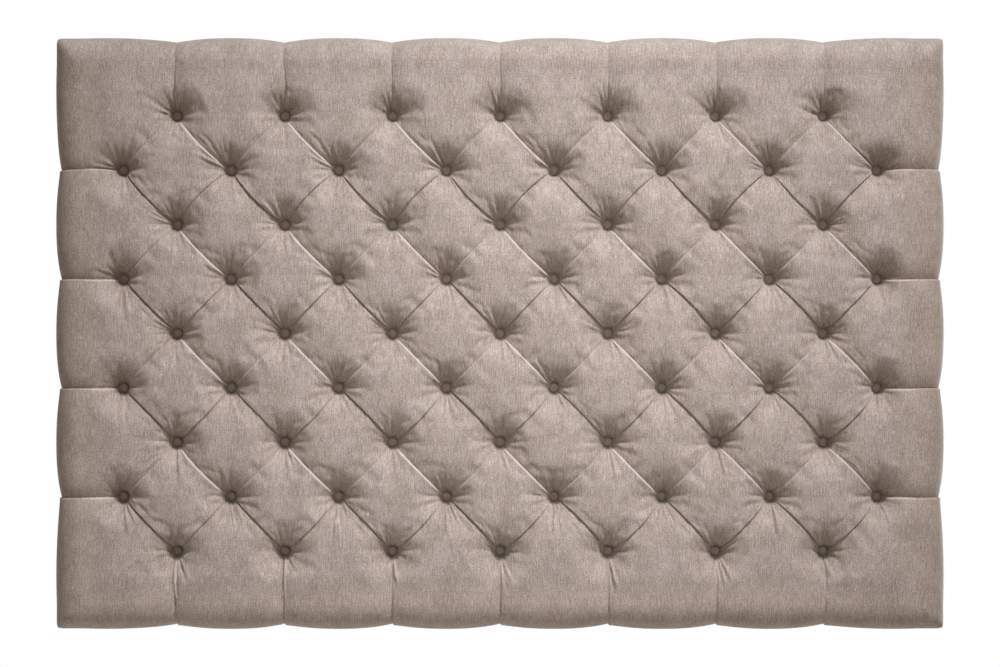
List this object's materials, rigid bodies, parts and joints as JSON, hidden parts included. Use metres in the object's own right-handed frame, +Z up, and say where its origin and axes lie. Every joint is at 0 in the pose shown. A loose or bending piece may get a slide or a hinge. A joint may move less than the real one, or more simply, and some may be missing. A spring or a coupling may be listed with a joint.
{
  "type": "upholstered headboard",
  "caption": "Wide rectangular wall-hung headboard, deep-buttoned in diamonds, in taupe cloth on a timber frame, lifting off a bevelled wall batten.",
  "frame": {"origin": "middle of the wall batten's back face, on the wall, at the centre of its screw holes", "axes": "+Z up, +Y into the wall, +X to the right seen from the front, so the padded front faces -Y"},
  "size_m": [1.616, 0.1353, 1.076],
  "materials": {
    "cover_cloth": "taupe slub weave",
    "button_cloth": "taupe slub weave",
    "foam": "open-cell foam",
    "wadding": "fibre wadding",
    "plywood": "birch plywood",
    "frame_wood": "planed softwood",
    "peg_wood": "beech dowel",
    "batten_wood": "planed board",
    "twine": "waxed twine",
    "toggle_plastic": "satin",
    "screw_steel": "zinc plated",
    "felt": "pressed felt",
    "dust_cloth": "black non-woven"
  },
  "bodies": {
    "wall_rail": {"wall_batten": "batten_wood"},
    "panel": {"cover": "cover_cloth", "foam_pad": "foam", "edge_wadding": "wadding", "face_board": "plywood", "frame_pegs": "peg_wood", "tufting_twine": "twine", "twine_toggles": "toggle_plastic", "panel_batten": "batten_wood", "batten_screws": "screw_steel", "lower_spacer": "batten_wood", "spacer_screws": "screw_steel", "wall_pads": "felt", "dust_cloth": "dust_cloth", "top_rail": "frame_wood", "hanging_rail": "frame_wood", "bottom_rail": "frame_wood", "left_stile": "frame_wood", "left_mid_stile": "frame_wood", "right_mid_stile": "frame_wood", "right_stile": "frame_wood", "button_row_1": "button_cloth", "button_row_2": "button_cloth", "button_row_3": "button_cloth", "button_row_4": "button_cloth", "button_row_5": "button_cloth", "button_row_6": "button_cloth", "button_row_7": "button_cloth", "button_row_8": "button_cloth", "button_row_9": "button_cloth"}
  },
  "joints": [
    {"name": "lift_off", "type": "slide", "parent": "wall_rail", "child": "panel", "axis": [0, 0, 1], "range_m": [0, 0.025]}
  ]
}
